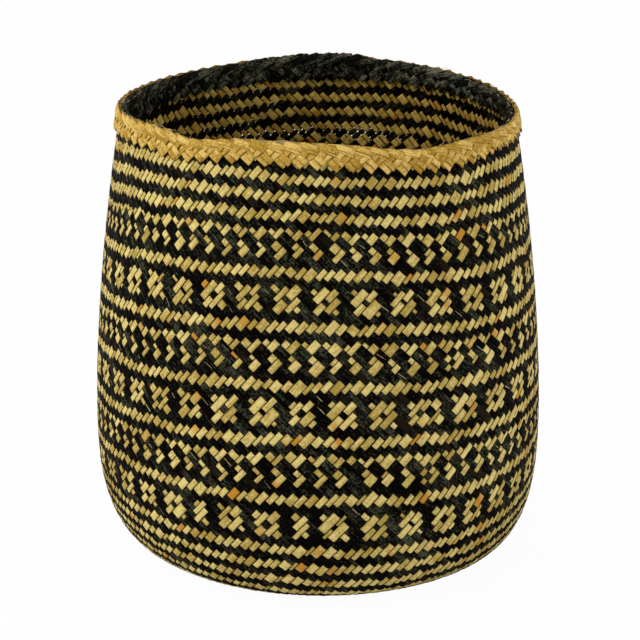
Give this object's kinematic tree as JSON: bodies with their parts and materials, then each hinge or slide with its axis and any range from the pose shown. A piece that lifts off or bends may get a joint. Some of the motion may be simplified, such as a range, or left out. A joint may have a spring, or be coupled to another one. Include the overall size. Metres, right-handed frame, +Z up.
{
  "type": "seagrass basket",
  "caption": "Round open storage basket plaited from flat grass strands, natural and dyed dark, with a plaited band round its mouth and a flat base.",
  "frame": {"origin": "on the floor under the middle of the base, at the centre of the bounding box's bottom", "axes": "+Z up through the open mouth; -Y is the side that faces the viewer"},
  "size_m": [0.3124, 0.3124, 0.3179],
  "materials": {
    "natural_strand": "dry flat grass strand, straw yellow with a slight sheen and fine lengthwise lines",
    "dark_strand": "dyed grass strand, green-black with a slight sheen and fine lengthwise lines"
  },
  "bodies": {
    "root": {"natural_strands_01": "natural_strand", "natural_strands_02": "natural_strand", "natural_strands_03": "natural_strand", "natural_strands_04": "natural_strand", "natural_strands_05": "natural_strand", "natural_strands_06": "natural_strand", "natural_strands_07": "natural_strand", "natural_strands_08": "natural_strand", "natural_strands_09": "natural_strand", "natural_strands_10": "natural_strand", "natural_strands_11": "natural_strand", "natural_strands_12": "natural_strand", "dark_strands_01": "dark_strand", "dark_strands_02": "dark_strand", "dark_strands_03": "dark_strand", "dark_strands_04": "dark_strand", "dark_strands_05": "dark_strand", "dark_strands_06": "dark_strand", "dark_strands_07": "dark_strand", "dark_strands_08": "dark_strand", "dark_strands_09": "dark_strand", "dark_strands_10": "dark_strand", "dark_strands_11": "dark_strand", "dark_strands_12": "dark_strand", "rim_outer_band": "natural_strand", "rim_inner_band": "dark_strand"}
  },
  "joints": []
}
